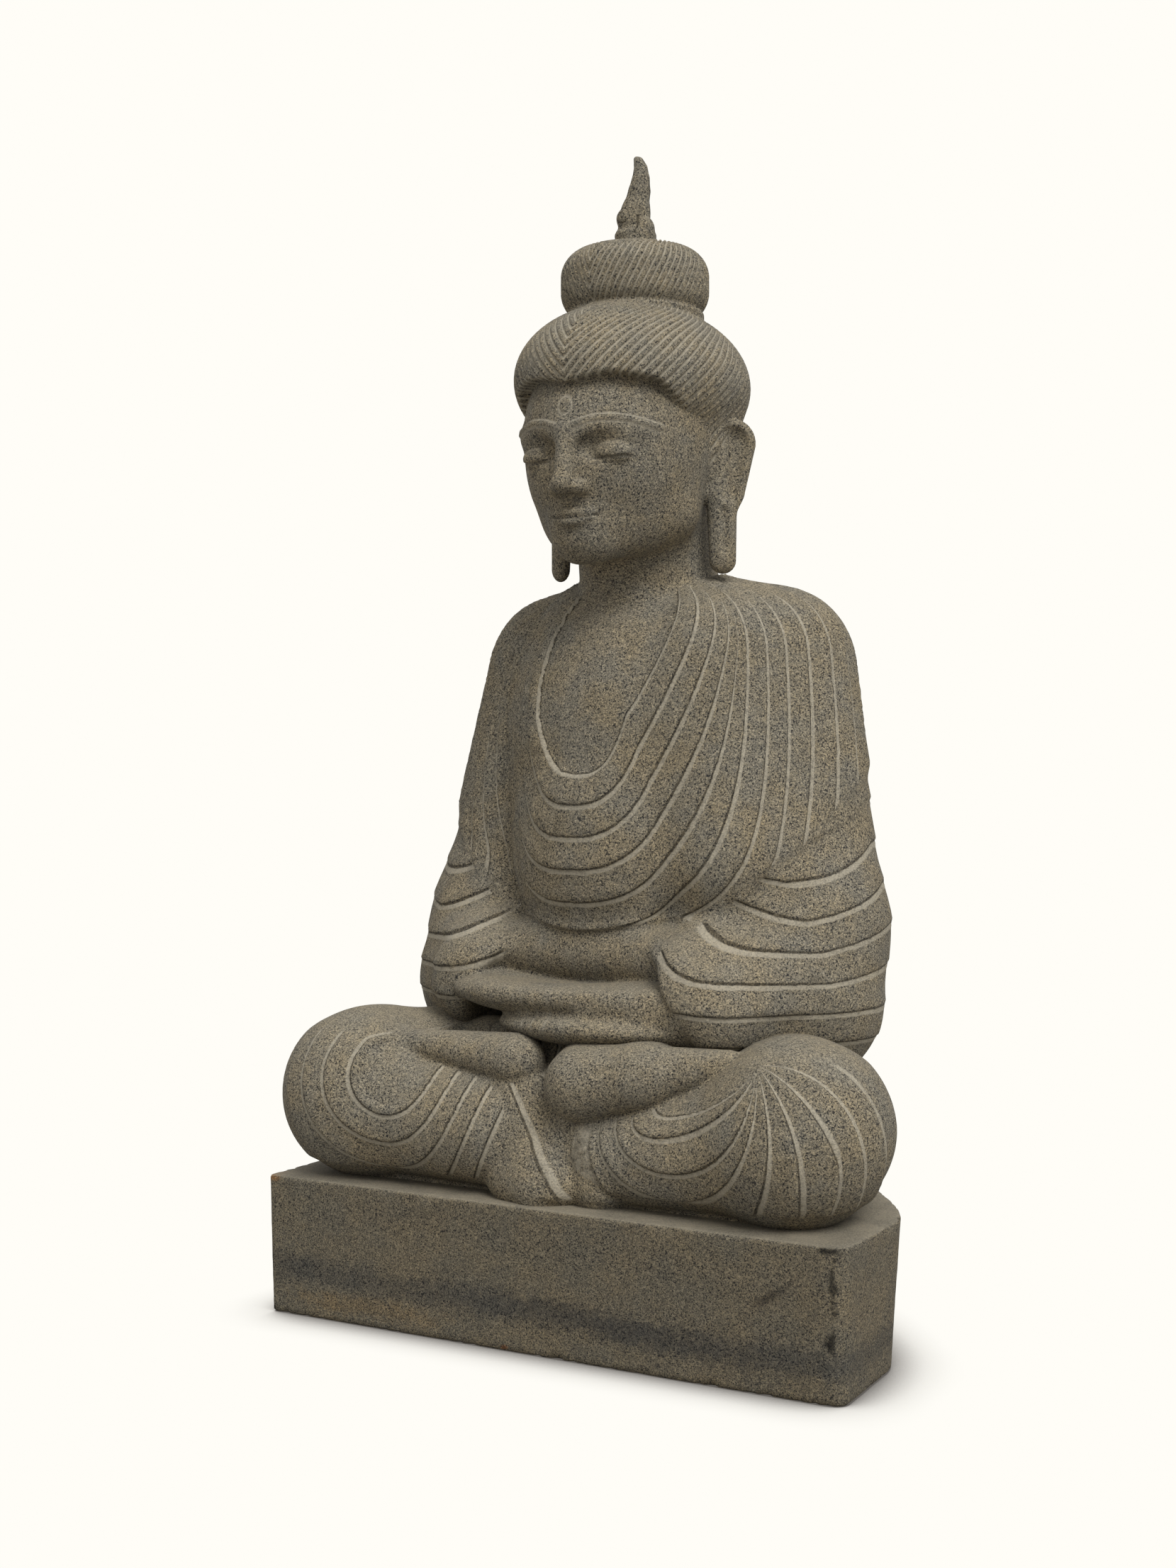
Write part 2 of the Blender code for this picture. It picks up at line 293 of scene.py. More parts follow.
def faceField(p):
    m = mirrored(p)
    face = moundedHead(p)
    eyeX, eyeZ, eyeY = head["eyeGap"], head["eyes"], plainFront["eye"]
    # hollows under the brow, then the lidded eyes set in them
    face = carve(face, ball(m, (eyeX - 0.002, eyeY - 0.0035, eyeZ + 0.003), (0.021, 0.008, 0.0095)), 0.011)
    face = fuse(face, ball(m, (eyeX, eyeY + 0.0112, eyeZ - 0.0015), (0.0182, 0.0132, 0.0108)), 0.0025)
    tipY, tipZ = plainFront["noseTip"], head["noseTip"]
    nose = limb(p, (0, plainFront["noseRoot"] + 0.001, 0.757), 0.0066, (0, tipY - 0.008, tipZ + 0.003), 0.0088)
    nose = fuse(nose, ball(p, (0, tipY - 0.0105, tipZ - 0.0002), (0.0092, 0.0085, 0.0078)), 0.005)
    nose = fuse(nose, ball(m, (0.0112, tipY - 0.001, tipZ - 0.0026), (0.0066, 0.0088, 0.0062)), 0.0045)
    nose = carve(nose, ball(m, (0.0052, tipY - 0.007, tipZ - 0.01), (0.0026, 0.004, 0.002)), 0.002)
    face = fuse(face, nose, 0.0055)
    lipZ = head["mouth"]
    upperLip = fuse(limb(m, (0.0042, lipFront["middle"] + 0.0002, lipZ + 0.004), 0.004,
                         (0.0222, lipFront["corner"] + 0.0012, lipZ + 0.002), 0.0016),
                    ball(p, (0, lipFront["middle"] - 0.0004, lipZ + 0.0032), 0.0036), 0.003)
    lowerLip = limb(m, (0.002, lipFront["middle"] + 0.0002, lipZ - 0.0042), 0.0052,
                    (0.0175, lipFront["side"] + 0.0008, lipZ - 0.0012), 0.0022)
    face = fuse(face, fuse(upperLip, lowerLip, 0.0008), 0.0022)
    face = carve(face, ball(m, (0.0262, lipFront["corner"] - 0.0008, lipZ + 0.0014), (0.0036, 0.004, 0.0032)), 0.005)
    face = carve(face, ball(p, (0, lipFront["middle"] - 0.0022, lipZ - 0.013), (0.014, 0.0044, 0.0034)), 0.005)
    return carve(face, ball(p, (0, lipFront["middle"] - 0.003, lipZ + 0.012), (0.0024, 0.004, 0.006)), 0.003)


def earPlace(p):
    # along the ear plate, out of it, and up
    m = mirrored(p)
    turn = math.radians(head["earTurn"])
    dx, dy = m[0] - head["earPivot"][0], m[1] - head["earPivot"][1]
    return (dx * math.cos(turn) + dy * math.sin(turn), dx * math.sin(turn) - dy * math.cos(turn), m[2])


def earField(p):
    q = earPlace(p)
    plate = limb(q, (0.0175, 0, 0.7585), 0.0215, (0.012, 0, 0.718), 0.0175, flat=(1, 2.5, 1))
    lobe = limb(q, (0.0085, 0, 0.712), 0.0135, (0.0092, 0.001, 0.6565), 0.0118, flat=(1, 1.5, 1))
    lobe = carve(lobe, limb(q, (0.0088, 0.0098, 0.7), 0.0036, (0.0092, 0.0098, 0.664), 0.003), 0.003)
    ear = fuse(plate, lobe, 0.008)
    shell = limb(q, (0.018, 0.011, 0.7595), 0.015, (0.014, 0.0105, 0.716), 0.011, flat=(1, 1.2, 1))
    ear = carve(ear, shell, 0.0025)
    inner = limb(q, (0.006, 0.002, 0.748), 0.0078, (0.0085, 0.002, 0.708), 0.0086, flat=(1, 1.4, 1))
    ear = fuse(ear, inner, 0.0035)
    return fuse(ear, ball(q, (-0.004, 0.003, 0.736), (0.0045, 0.005, 0.01)), 0.004)


def neckField(p):
    return limb(p, *head["neck"])


def headTurn(p):
    centre, radii = head["cap"]
    return np.arctan2(np.abs(p[0] - centre[0]) / radii[0], -(p[1] - centre[1]) / radii[1])


def capField(p):
    cap = fuse(ball(p, *head["cap"]), ball(p, *head["nape"]), 0.012)
    edge = np.interp(headTurn(p), *head["hairline"])
    return carve(cap, p[2] - edge, 0.0055)


def knotField(p):
    return drum(p, *head["knot"])


def headField(p):
    whole = fuse(faceField(p), neckField(p), 0.016)
    whole = fuse(whole, capField(p), 0.0015)
    whole = fuse(whole, earField(p), 0.0035)
    whole = fuse(whole, drum(p, *head["collar"]), 0.003)
    return fuse(whole, knotField(p), 0.002)


def figureField(p):
    whole = fuse(torsoField(p), armField(p), 0.02)
    whole = carve(whole, limb(p, *body["armpit"]), 0.012)
    whole = fuse(whole, limb(p, *hands["bedding"]), 0.02)
    whole = fuse(whole, headField(p), 0.011)
    whole = fuse(whole, handField(p), 0.003)
    drilled = drum(p, (0, crownY, 0.93), 0.01, 0.03, 0.001)
    return np.maximum(whole, -drilled)


def lowerField(p):
    lower = fuse(legField(p), hemField(p), 0.007)
    lower = fuse(lower, feetField(p), 0.0045)
    lower = carve(lower, limb(p, *hem["pocket"]), 0.003)
    return np.maximum(lower, 0.108 - p[2])


def runField(field, points, chunk=120000):
    parts = [points[:, i:i + chunk] for i in range(0, points.shape[1], chunk)]
    with ThreadPoolExecutor(4) as pool:
        return np.concatenate(list(pool.map(field, parts)))


def fieldMesh(field, toWorld, counts, reach, coarse=4):
    # samples the field on a grid, finely only near the surface, and skins it
    def spread(blocks):
        full = np.repeat(np.repeat(np.repeat(blocks, coarse, 0), coarse, 1), coarse, 2)
        return full[:counts[0], :counts[1], :counts[2]]

    axes = [np.arange(0, n, coarse) for n in counts]
    rough = np.stack(np.meshgrid(*axes, indexing="ij"))
    roughValues = runField(field, toWorld(rough.reshape(3, -1).astype(np.float32))).reshape(rough.shape[1:])
    near = np.abs(roughValues) < reach * coarse
    values = spread(roughValues).astype(np.float32)
    for axis in range(3):
        near = near | np.roll(near, 1, axis) | np.roll(near, -1, axis)
    mask = spread(near)
    cells = np.stack(np.nonzero(mask)).astype(np.float32)
    values[mask] = runField(field, toWorld(cells))
    values = np.ascontiguousarray(values)
    grid = openvdb.FloatGrid(background=float(reach))
    grid.copyFromArray(values, tolerance=0)
    points, quads = grid.convertToQuads(isovalue=0.0)
    return toWorld(points.T.astype(np.float32)).T, quads


def meshObject(name, points, faces):
    made = bpy.data.meshes.new(name)
    made.from_pydata([tuple(map(float, p)) for p in points], [], [tuple(map(int, f)) for f in faces])
    made.update()
    bm = bmesh.new()
    bm.from_mesh(made)
    bmesh.ops.remove_doubles(bm, verts=bm.verts, dist=1e-6)
    bmesh.ops.recalc_face_normals(bm, faces=bm.faces)
    bm.to_mesh(made)
    bm.free()
    made.shade_smooth()
    thing = bpy.data.objects.new(name, made)
    scene.collection.objects.link(thing)
    return thing


def applied(thing):
    # bakes the modifiers into a new mesh
    graph = bpy.context.evaluated_depsgraph_get()
    baked = bpy.data.meshes.new_from_object(thing.evaluated_get(graph))
    old = thing.data
    thing.modifiers.clear()
    thing.data = baked
    bpy.data.meshes.remove(old)
    return thing


def refine(thing):
    finer = thing.modifiers.new("finer", "SUBSURF")
    finer.levels = finer.render_levels = 1
    return applied(thing)


def readPoints(thing):
    flat = np.empty(len(thing.data.vertices) * 3, dtype=np.float32)
    thing.data.vertices.foreach_get("co", flat)
    return flat.reshape(-1, 3).T.copy()


def writePoints(thing, points):
    thing.data.vertices.foreach_set("co", np.ascontiguousarray(points.T).ravel())
    thing.data.update()


def slopeOf(field, points, step=0.0006):
    slope = np.empty_like(points)
    for axis in range(3):
        ahead, behind = points.copy(), points.copy()
        ahead[axis] += step
        behind[axis] -= step
        slope[axis] = runField(field, ahead) - runField(field, behind)
    size = np.maximum(np.sqrt((slope * slope).sum(0)), 1e-9)
    return slope / size, size / (2 * step)


def settle(field, points, rounds=2):
    # walks every point onto the surface of the field
    for _ in range(rounds):
        normal, steepness = slopeOf(field, points)
        away = runField(field, points) / np.maximum(steepness, 0.4)
        points = points - normal * np.clip(away, -0.0015, 0.0015)
    return points, normal


figureGrid = {"bodyCell": 0.004, "headCell": 0.0022, "low": 0.196, "high": 0.944, "across": 126, "deep": 124,
              "headFrom": 0.575, "headFull": 0.66, "keep": 0.22}
legGrid = {"cell": 0.004, "low": 0.1, "across": 156, "deep": 88, "middle": 45, "levels": 52, "keep": 0.45}


def makeLevels():
    z, levels = figureGrid["low"], []
    while z < figureGrid["high"]:
        levels.append(z)
        z += float(np.interp(z, (figureGrid["headFrom"], figureGrid["headFull"]),
                             (figureGrid["bodyCell"], figureGrid["headCell"])))
    return np.array(levels)


levelTable = makeLevels()


def figureToWorld(index):
    z = np.interp(index[2], np.arange(len(levelTable)), levelTable).astype(np.float32)
    cell = np.interp(z, (figureGrid["headFrom"], figureGrid["headFull"]),
                     (figureGrid["bodyCell"], figureGrid["headCell"])).astype(np.float32)
    x = (index[0] - (figureGrid["across"] - 1) / 2) * cell
    y = (index[1] - (figureGrid["deep"] - 1) / 2) * cell + 0.012
    return np.stack([x, y, z])


def legToWorld(index):
    cell = legGrid["cell"]
    return np.stack([(index[0] - (legGrid["across"] - 1) / 2) * cell, (index[1] - legGrid["middle"]) * cell,
                     index[2] * cell + legGrid["low"]]).astype(np.float32)


folds = {
    "height": 0.003, "robeEdge": 0.0032,
    "firstLoop": 0.4708, "loopStep": 0.027, "loopCurve": 0.36,
    "sleeveTop": 0.372, "sleeveStep": 0.0245,
    "hairPitch": 0.088, "hairDepth": 0.0016, "knotPitch": 0.006, "knotDepth": 0.0015, "knotFoot": 0.8715,
    "rightLoops": (0.144, 0.223, 0.003, 0.016, 0.0208),
    "gather": (0.189, 0.247),
    "fan": ((-1, 0, 1, 2, 3, 4, 5, 6, 7, 8, 9),
            (0.04, 0.051, 0.061, 0.069, 0.078, 0.087, 0.088, 0.088, 0.088, 0.088, 0.088),
            (0.009, 0.0165, 0.027, 0.0555, 0.07, 0.084, 0.085, 0.085, 0.085, 0.085, 0.085),
            (200, 204, 206, 206.5, 211, 224, 242, 260, 278, 296, 314)),
}


def solveTurn(gap, low, high, rounds=14):
    # the fold number whose curve passes through each point; the gap falls as it grows
    a = np.full_like(gap(np.asarray(low, dtype=np.float64)), low)
    b = np.full_like(a, high)
    for _ in range(rounds):
        mid = (a + b) / 2
        above = gap(np.asarray(mid, dtype=np.float64)) > 0
        a = np.where(above, mid, a)
        b = np.where(above, b, mid)
    return (a + b) / 2


def shingle(turn, height, drop=0.09):
    # each layer swells towards its lower edge, then steps down to the next
    part = turn - np.floor(turn)
    swell = height * part ** 1.4 * (1 - fade(part, 1 - drop, 1.0))
    return swell + 0.22 * height * fade(part, 0.0, 0.02) * (1 - fade(part, 0.06, 0.12))


def chestTurn(p):
    # nested hanging loops; their left-hand sides lean out over the arm
    around = 0.15 * np.arctan2(p[0] / 0.17, -(p[1] - 0.06) / 0.12)

    def gap(n):
        outer = np.maximum(n - 5, 0)
        low = folds["firstLoop"] - folds["loopStep"] * n + 0.012 * outer
        middle = -0.01 - 0.001 * n + 0.008 * outer
        rise = np.maximum(p[2] - low, 0) * 1000
        curve = rise ** folds["loopCurve"]
        past = np.maximum(rise - 50, 0)
        right = (9.6 + 2.9 * n - 0.9 * outer) * curve + np.maximum(0.36 - 0.1 * n, -0.12) * past
        left = (12 + 2 * n) * curve - 0.15 * past
        width = np.where(around > middle, right, left) / 1000
        return np.where(p[2] < low, 1.0, np.abs(around - middle) - width)

    return solveTurn(gap, -2.5, 16.0)


def backTurn(p):
    around = 0.15 * np.arctan2(np.abs(p[0]) / 0.17, (p[1] - 0.06) / 0.12)

    def gap(n):
        low = 0.56 - 0.034 * n
        rise = np.maximum(p[2] - low, 0) * 1000
        return np.where(p[2] < low, 1.0, around - (11 + 3.0 * n) * rise ** 0.36 / 1000)

    return solveTurn(gap, -2.0, 16.0)


def sleeveTurn(p):
    x = np.abs(p[0])

    def gap(n):
        level = folds["sleeveTop"] - folds["sleeveStep"] * n
        bend = np.clip(0.19 - 0.03 * n, 0.04, 0.25)
        slope = np.clip(0.3 + 0.24 * n, 0.1, 1.6)
        rear = np.clip(0.46 - 0.11 * n, 0, 0.8) * np.clip(p[1] + 0.015, 0, 0.085)
        inward = bend - x
        return level + slope * (inward + np.sqrt(inward * inward + 0.0005)) / 2 + rear - p[2]

    return solveTurn(gap, -5.0, 9.0)


def kneeTurn(p):
    # on the figure's right, loops hang round the shin; on its left they fan out from one gathered point
    x = np.abs(p[0]) + 0.75 * np.maximum(p[1] + 0.128, 0) * fade(np.abs(p[0]), 0.1, 0.17)
    middle, height, drift, first, step = folds["rightLoops"]
    dx, dz = x - middle, (p[2] - height) * 0.9
    a = drift ** 2 - step ** 2
    b = -2 * (dx * drift + first * step)
    c = dx * dx + dz * dz - first ** 2
    hanging = (-b - np.sqrt(np.maximum(b * b - 4 * a * c, 0))) / (2 * a)
    gather, table = folds["gather"], folds["fan"]
    dx, dz = x - gather[0], p[2] - gather[1]

    def gap(n):
        long, wide, lean = (np.interp(n, table[0], row) for row in table[1:])
        lean = np.radians(lean)
        along = dx * np.cos(lean) + dz * np.sin(lean)
        across = dz * np.cos(lean) - dx * np.sin(lean)
        return ((along - long) / long) ** 2 + (across / wide) ** 2 - 1

    return np.where(p[0] < 0, hanging, solveTurn(gap, -1.0, 9.0))


def hemTurn(p):
    drop = 0.218 - p[2]
    return (p[0] + 0.066 - 0.3 * drop) / (0.024 + 0.33 * drop)


def groove(turn, share):
    part = turn - np.floor(turn)
    return 1 - fade(np.abs(part - 0.5) * 2, share, share + 0.3)


def line(distance, halfWidth):
    return 1 - fade(np.abs(distance), halfWidth * 0.55, halfWidth * 1.5)


# the last mask marks painted shade along carved creases and cuts
markNames = ("push", "turn", "foldMask", "strand", "hairMask", "tool", "crease")


def blankMarks(p):
    # how far each point is pushed out, then the numbers and masks that the stone material reads
    return {name: np.zeros(p.shape[1], dtype=np.float32) for name in markNames}


def layFolds(marks, weight, turn, height, robeOnly=False):
    push = shingle(turn, height)
    if robeOnly:
        robe = fade(turn, 0.0, 0.06)
        push = push * robe + folds["robeEdge"] * robe
    marks["push"] += weight * push
    stronger = weight > marks["foldMask"]
    marks["turn"] = np.where(stronger, turn, marks["turn"])
    marks["foldMask"] = np.maximum(marks["foldMask"], fade(weight, 0.35, 0.85))


def markFigure(p):
    marks = blankMarks(p)
    x, y, z = p
    side = np.abs(x)
    torso, arm = torsoField(p), armField(p)
    hand, neck, face, ear = handField(p), neckField(p), faceField(p), earField(p)
    cap, knot = capField(p), knotField(p)
    bedding = limb(p, *hands["bedding"])
    cloth = np.minimum(torso, arm)
    others = nearest(hand, bedding + 0.003, neck, face, cap, ear)
    onBody = (1 - fade(cloth - others, -0.005, 0.001)) * (1 - fade(cloth, 0.006, 0.012))
    elbow = 0.385 + 0.9 * (side - 0.15) + 0.5 * np.maximum(y, 0)
    lowArm = fade(torso - arm, -0.002, 0.01) * (1 - fade(z, elbow - 0.004, elbow + 0.016))
    lowArm = lowArm * (1 - fade(y, 0.1, 0.13) * fade(z, 0.36, 0.39))
    behind = fade(y, 0.095, 0.125)
    outer = 1 - 0.55 * fade(side, 0.165, 0.205)
    layFolds(marks, onBody * (1 - lowArm) * (1 - behind), chestTurn(p), folds["height"], robeOnly=True)
    layFolds(marks, onBody * (1 - lowArm) * behind, backTurn(p), folds["height"] * 0.9)
    layFolds(marks, onBody * lowArm, sleeveTurn(p), folds["height"] * 1.1 * outer)
    # hair strands sweep up and back from the middle of the brow
    centre, radii = head["cap"]
    tilt = np.arctan2((z - centre[2]) / radii[2], np.hypot(x / radii[0], (y - centre[1]) / radii[1]))
    around = headTurn(p)
    strand = (0.66 * tilt - around * (1 - 0.25 * fade(tilt, 0.3, 1.2))) / folds["hairPitch"]
    onCap = 1 - fade(cap - nearest(face, ear, neck, knot), -0.002, 0.0002)
    onCap = onCap * (1 - fade(cap, 0.002, 0.004)) * (1 - fade(tilt, 0.98, 1.04))
    edge = np.interp(around, *head["hairline"])
    marks["push"] -= folds["hairDepth"] * onCap * groove(strand, 0.28) * (0.25 + 0.75 * fade(z - edge, 0.001, 0.006))
    across = np.hypot(x, y - crownY)
    climb = (z - folds["knotFoot"]) + np.maximum(0.058 - across, 0) * 1.2
    knotAround = np.abs(np.arctan2(x, -(y - crownY)) + 0.15)
    knotStrand = (knotAround * 0.064 - 0.5 * climb) / folds["knotPitch"]
    onKnot = (1 - fade(knot - cap, -0.002, 0.0005)) * (1 - fade(knot, 0.002, 0.004))
    onKnot = onKnot * fade(across, 0.018, 0.021) * fade(z, 0.871, 0.875)
    marks["push"] -= folds["knotDepth"] * onKnot * groove(knotStrand, 0.3)
    # only the fraction of a strand number draws its line; the whole 100 keeps it above zero
    marks["strand"] = np.where(onKnot > onCap, knotStrand, strand) + 100
    marks["hairMask"] = fade(np.maximum(onCap, onKnot), 0.3, 0.8)
    markFace(marks, p, face, nearest(ear, cap, neck))
    # joints lightly cut into the fingers
    onHand = (1 - fade(hand - cloth, -0.004, 0.0)) * (1 - fade(y, -0.085, -0.075))
    for place in hands["fingers"]:
        lean = 0.1 * (z - 0.27)
        cut = line(x - place - lean, 0.0008) * onHand * fade(z, 0.25, 0.254) * (1 - fade(z, 0.286, 0.29))
        marks["push"] -= 0.0008 * cut
        marks["tool"] = np.maximum(marks["tool"], 0.55 * cut)
    return marks


def markFace(marks, p, face, rest):
    x, y, z = p
    side = np.abs(x)
    onFace = (1 - fade(face - rest, -0.003, 0.0)) * (1 - fade(y, -0.045, -0.025))
    middle = 0.037
    browZ = head["brow"] + 0.003 - 7.5 * (side - middle) ** 2
    span = fade(side, 0.005, 0.009) * (1 - fade(side, 0.066, 0.071))
    ridge = (1 - fade(np.abs(z - browZ), 0.002, 0.004)) * span
    edge = np.maximum(line(z - browZ - 0.0032, 0.0009), line(z - browZ + 0.0032, 0.0009)) * span
    drop = np.hypot(x, (z - 0.7775) * np.where(z > 0.7775, 0.72, 1.0))
    ring = line(drop - 0.0064, 0.0009)
    eyeSide = (side - head["eyeGap"]) / 0.018
    inEye = 1 - fade(np.abs(eyeSide), 0.9, 1.02)
    arch = 1 - eyeSide * eyeSide
    slit = line(z - (head["eyes"] - 0.005 - 0.002 * arch), 0.001) * inEye
    fold = line(z - (head["eyes"] + 0.0042 + 0.0036 * arch), 0.001) * inEye
    lipSide = side / 0.0225
    inLip = 1 - fade(lipSide, 0.95, 1.06)
    mouth = line(z - (head["mouth"] - 0.0008 + 0.0022 * lipSide ** 2), 0.0009) * inLip
    marks["push"] += onFace * (0.0012 * ridge - 0.0007 * edge + 0.0006 * (1 - fade(drop, 0.003, 0.0065))
                               - 0.0006 * ring - 0.0012 * slit - 0.0006 * fold - 0.0013 * mouth)
    light = np.maximum(0.85 * edge, np.maximum(0.85 * ring, 0.35 * slit))
    marks["tool"] = np.maximum(marks["tool"], onFace * light)
    # painted shade in the eye slits and along the mouth line
    marks["crease"] = np.maximum(marks["crease"], onFace * np.maximum(0.6 * slit, 0.6 * mouth))


def markLegs(p):
    marks = blankMarks(p)
    x, y, z = p
    leg, foot, fall = legField(p), feetField(p), hemField(p)
    onLeg = 1 - fade(leg - np.minimum(foot, fall), -0.004, 0.001)
    span = fade(z, 0.13, 0.138) * (1 - fade(z, 0.238, 0.262)) * (1 - fade(y, 0.0, 0.05))
    turn = kneeTurn(p)
    start = np.where(x < 0, 0.6, -0.16)
    layFolds(marks, onLeg * span * fade(turn, start, start + 0.15), turn, folds["height"])
    onHem = (1 - fade(fall - np.minimum(foot, leg), -0.004, 0.001)) * fade(z, 0.122, 0.128)
    turn = hemTurn(p)
    layFolds(marks, onHem * fade(turn, 0.2, 0.4) * (1 - fade(turn, 2.2, 2.5)), turn, folds["height"] * 0.9)
    return marks


def setMask(thing, name, values):
    layer = thing.data.attributes.new(name, "FLOAT", "POINT")
    layer.data.foreach_set("value", np.ascontiguousarray(values, dtype=np.float32))


def skinned(name, field, toWorld, counts, cell):
    # a mesh on the surface of the field, with its points and the way each one faces
    points, quads = fieldMesh(field, toWorld, counts, cell * 1.5)
    thing = refine(meshObject(name, points, quads))
    return (thing, *settle(field, readPoints(thing)))


def carveOut(name, field, toWorld, counts, cell, marker, keep):
    thing, points, normal = skinned(name, field, toWorld, counts, cell)
    pieces = np.array_split(points, 12, axis=1)
    with ThreadPoolExecutor(4) as pool:
        done = list(pool.map(marker, pieces))
    marks = {key: np.concatenate([part[key] for part in done]) for key in markNames}
    writePoints(thing, points + normal * marks["push"])
    for key in markNames[1:]:
        setMask(thing, key, marks[key])
    full = len(thing.data.polygons)
    thinner = thing.modifiers.new("thinner", "DECIMATE")
    thinner.ratio = keep
    applied(thing)
    print("carved", name, full, "faces, thinned to", len(thing.data.polygons))
    return thing


def makeFigure():
    counts = (figureGrid["across"], figureGrid["deep"], len(levelTable))
    return carveOut("robedFigure", figureField, figureToWorld, counts, figureGrid["bodyCell"], markFigure,
                    figureGrid["keep"])


def makeLegs():
    counts = (legGrid["across"], legGrid["deep"], legGrid["levels"])
    return carveOut("crossedLegs", lowerField, legToWorld, counts, legGrid["cell"], markLegs, legGrid["keep"])


def feed(tree, socket, value):
    if isinstance(value, bpy.types.NodeSocket):
        tree.links.new(value, socket)
    else:
        socket.default_value = (*value, 1) if socket.type == "RGBA" else value


def addNode(tree, kind, sockets=None, **settings):
    # a node laid out after the last one, with its sockets linked or set by name or number
    node = tree.nodes.new(kind)
    row, column = divmod(len(tree.nodes), 9)
    node.location = (220 * column - 1900, 900 - 300 * row)
    for name, value in settings.items():
        setattr(node, name, value)
    for name, value in (sockets or {}).items():
        feed(tree, node.inputs[name], value)
    return node


def ramp(tree, value, stops):
    node = addNode(tree, "ShaderNodeValToRGB", {0: value})
    elements = node.color_ramp.elements
    while len(elements) < len(stops):
        elements.new(0.5)
    for element, (position, shade) in zip(elements, stops):
        element.position = position
        element.color = (*shade, 1) if isinstance(shade, tuple) else (shade, shade, shade, 1)
    return node.outputs[0]


def mixColour(tree, factor, first, second, mode="MIX"):
    sockets = {0: factor, 6: first, 7: second}
    return addNode(tree, "ShaderNodeMix", sockets, data_type="RGBA", blend_type=mode).outputs[2]


def calc(tree, operation, *values, clamp=False):
    sockets = dict(enumerate(values))
    return addNode(tree, "ShaderNodeMath", sockets, operation=operation, use_clamp=clamp).outputs[0]


def vectorCalc(tree, operation, *values):
    node = addNode(tree, "ShaderNodeVectorMath", dict(enumerate(values)), operation=operation)
    return node.outputs["Value" if operation == "LENGTH" else "Vector"]


def cloudNoise(tree, spot, scale, detail, roughness=0.5):
    sockets = {"Vector": spot, "Scale": scale, "Detail": detail, "Roughness": roughness}
    return addNode(tree, "ShaderNodeTexNoise", sockets).outputs


def newGroup(name, inputs, outputs):
    group = bpy.data.node_groups.new(name, "ShaderNodeTree")
    for label, value in inputs.items():
        kind = "NodeSocketFloat" if isinstance(value, float) else "NodeSocketVector"
        socket = group.interface.new_socket(label, in_out="INPUT", socket_type=kind)
        if value is not None:
            socket.default_value = value
    for label in outputs:
        kind = "NodeSocketColor" if label == "Color" else "NodeSocketFloat"
        group.interface.new_socket(label, in_out="OUTPUT", socket_type=kind)
    return group, addNode(group, "NodeGroupInput").outputs, addNode(group, "NodeGroupOutput").inputs


granite = {
    "wobble": (0.0015, 0.0015, 0.0015),
    # how much finer each layer of crystals is, and its tones from dark to light
    "crystals": (
        (1.0, [(0.0, (0.04, 0.039, 0.036)), (0.22, (0.085, 0.081, 0.07)), (0.55, (0.15, 0.138, 0.108)),
               (0.82, (0.235, 0.212, 0.158)), (1.0, (0.34, 0.306, 0.23))]),
        (2.1, [(0.0, (0.03, 0.03, 0.029)), (0.3, (0.095, 0.091, 0.078)), (0.65, (0.185, 0.168, 0.13)),
               (1.0, (0.35, 0.318, 0.245))])),
    "fineShare": 0.42,
    # tan, then black: offset, fineness, where a fleck begins and is full, colour and strength
    "flecks": ((3.7, 0.75, 0.585, 0.65, (0.33, 0.285, 0.185), 0.55),
               (0.0, 0.72, 0.556, 0.6, (0.02, 0.02, 0.021), 1.0)),
}


def makeSpeckle():
    # grey granite: interlocked crystals with black and tan flecks
    group, given, made = newGroup(
        "stoneSpeckle", {"Position": None, "Grain Scale": 850.0, "Flecks": 1.0}, ("Color", "Height"))
    wobble = cloudNoise(group, given["Position"], 600, 2)
    bent = vectorCalc(group, "MULTIPLY_ADD", wobble["Color"], granite["wobble"], given["Position"])
    picks, tones = [], []
    for finer, stops in granite["crystals"]:
        size = calc(group, "MULTIPLY", given["Grain Scale"], finer)
        crystals = addNode(group, "ShaderNodeTexVoronoi", {"Vector": bent, "Scale": size})
        picks.append(addNode(group, "ShaderNodeSeparateColor", {0: crystals.outputs["Color"]}).outputs[0])
        tones.append(ramp(group, picks[-1], stops))
    colour = mixColour(group, granite["fineShare"], *tones)
    for offset, finer, begins, full, tint, strength in granite["flecks"]:
        moved = vectorCalc(group, "ADD", given["Position"], (offset, offset, offset))
        spots = cloudNoise(group, moved, calc(group, "MULTIPLY", given["Grain Scale"], finer), 3, 0.62)
        fleck = ramp(group, spots[0], [(begins, 0.0), (full, 1.0)])
        fleck = calc(group, "MULTIPLY", fleck, given["Flecks"], clamp=True)
        colour = mixColour(group, calc(group, "MULTIPLY", fleck, strength), colour, tint)
    feed(group, made["Color"], colour)
    rough = calc(group, "MULTIPLY_ADD", picks[0], 0.5, calc(group, "MULTIPLY", picks[1], 0.5))
    feed(group, made["Height"], calc(group, "SUBTRACT", rough, fleck))  # the black flecks are pits
    return group


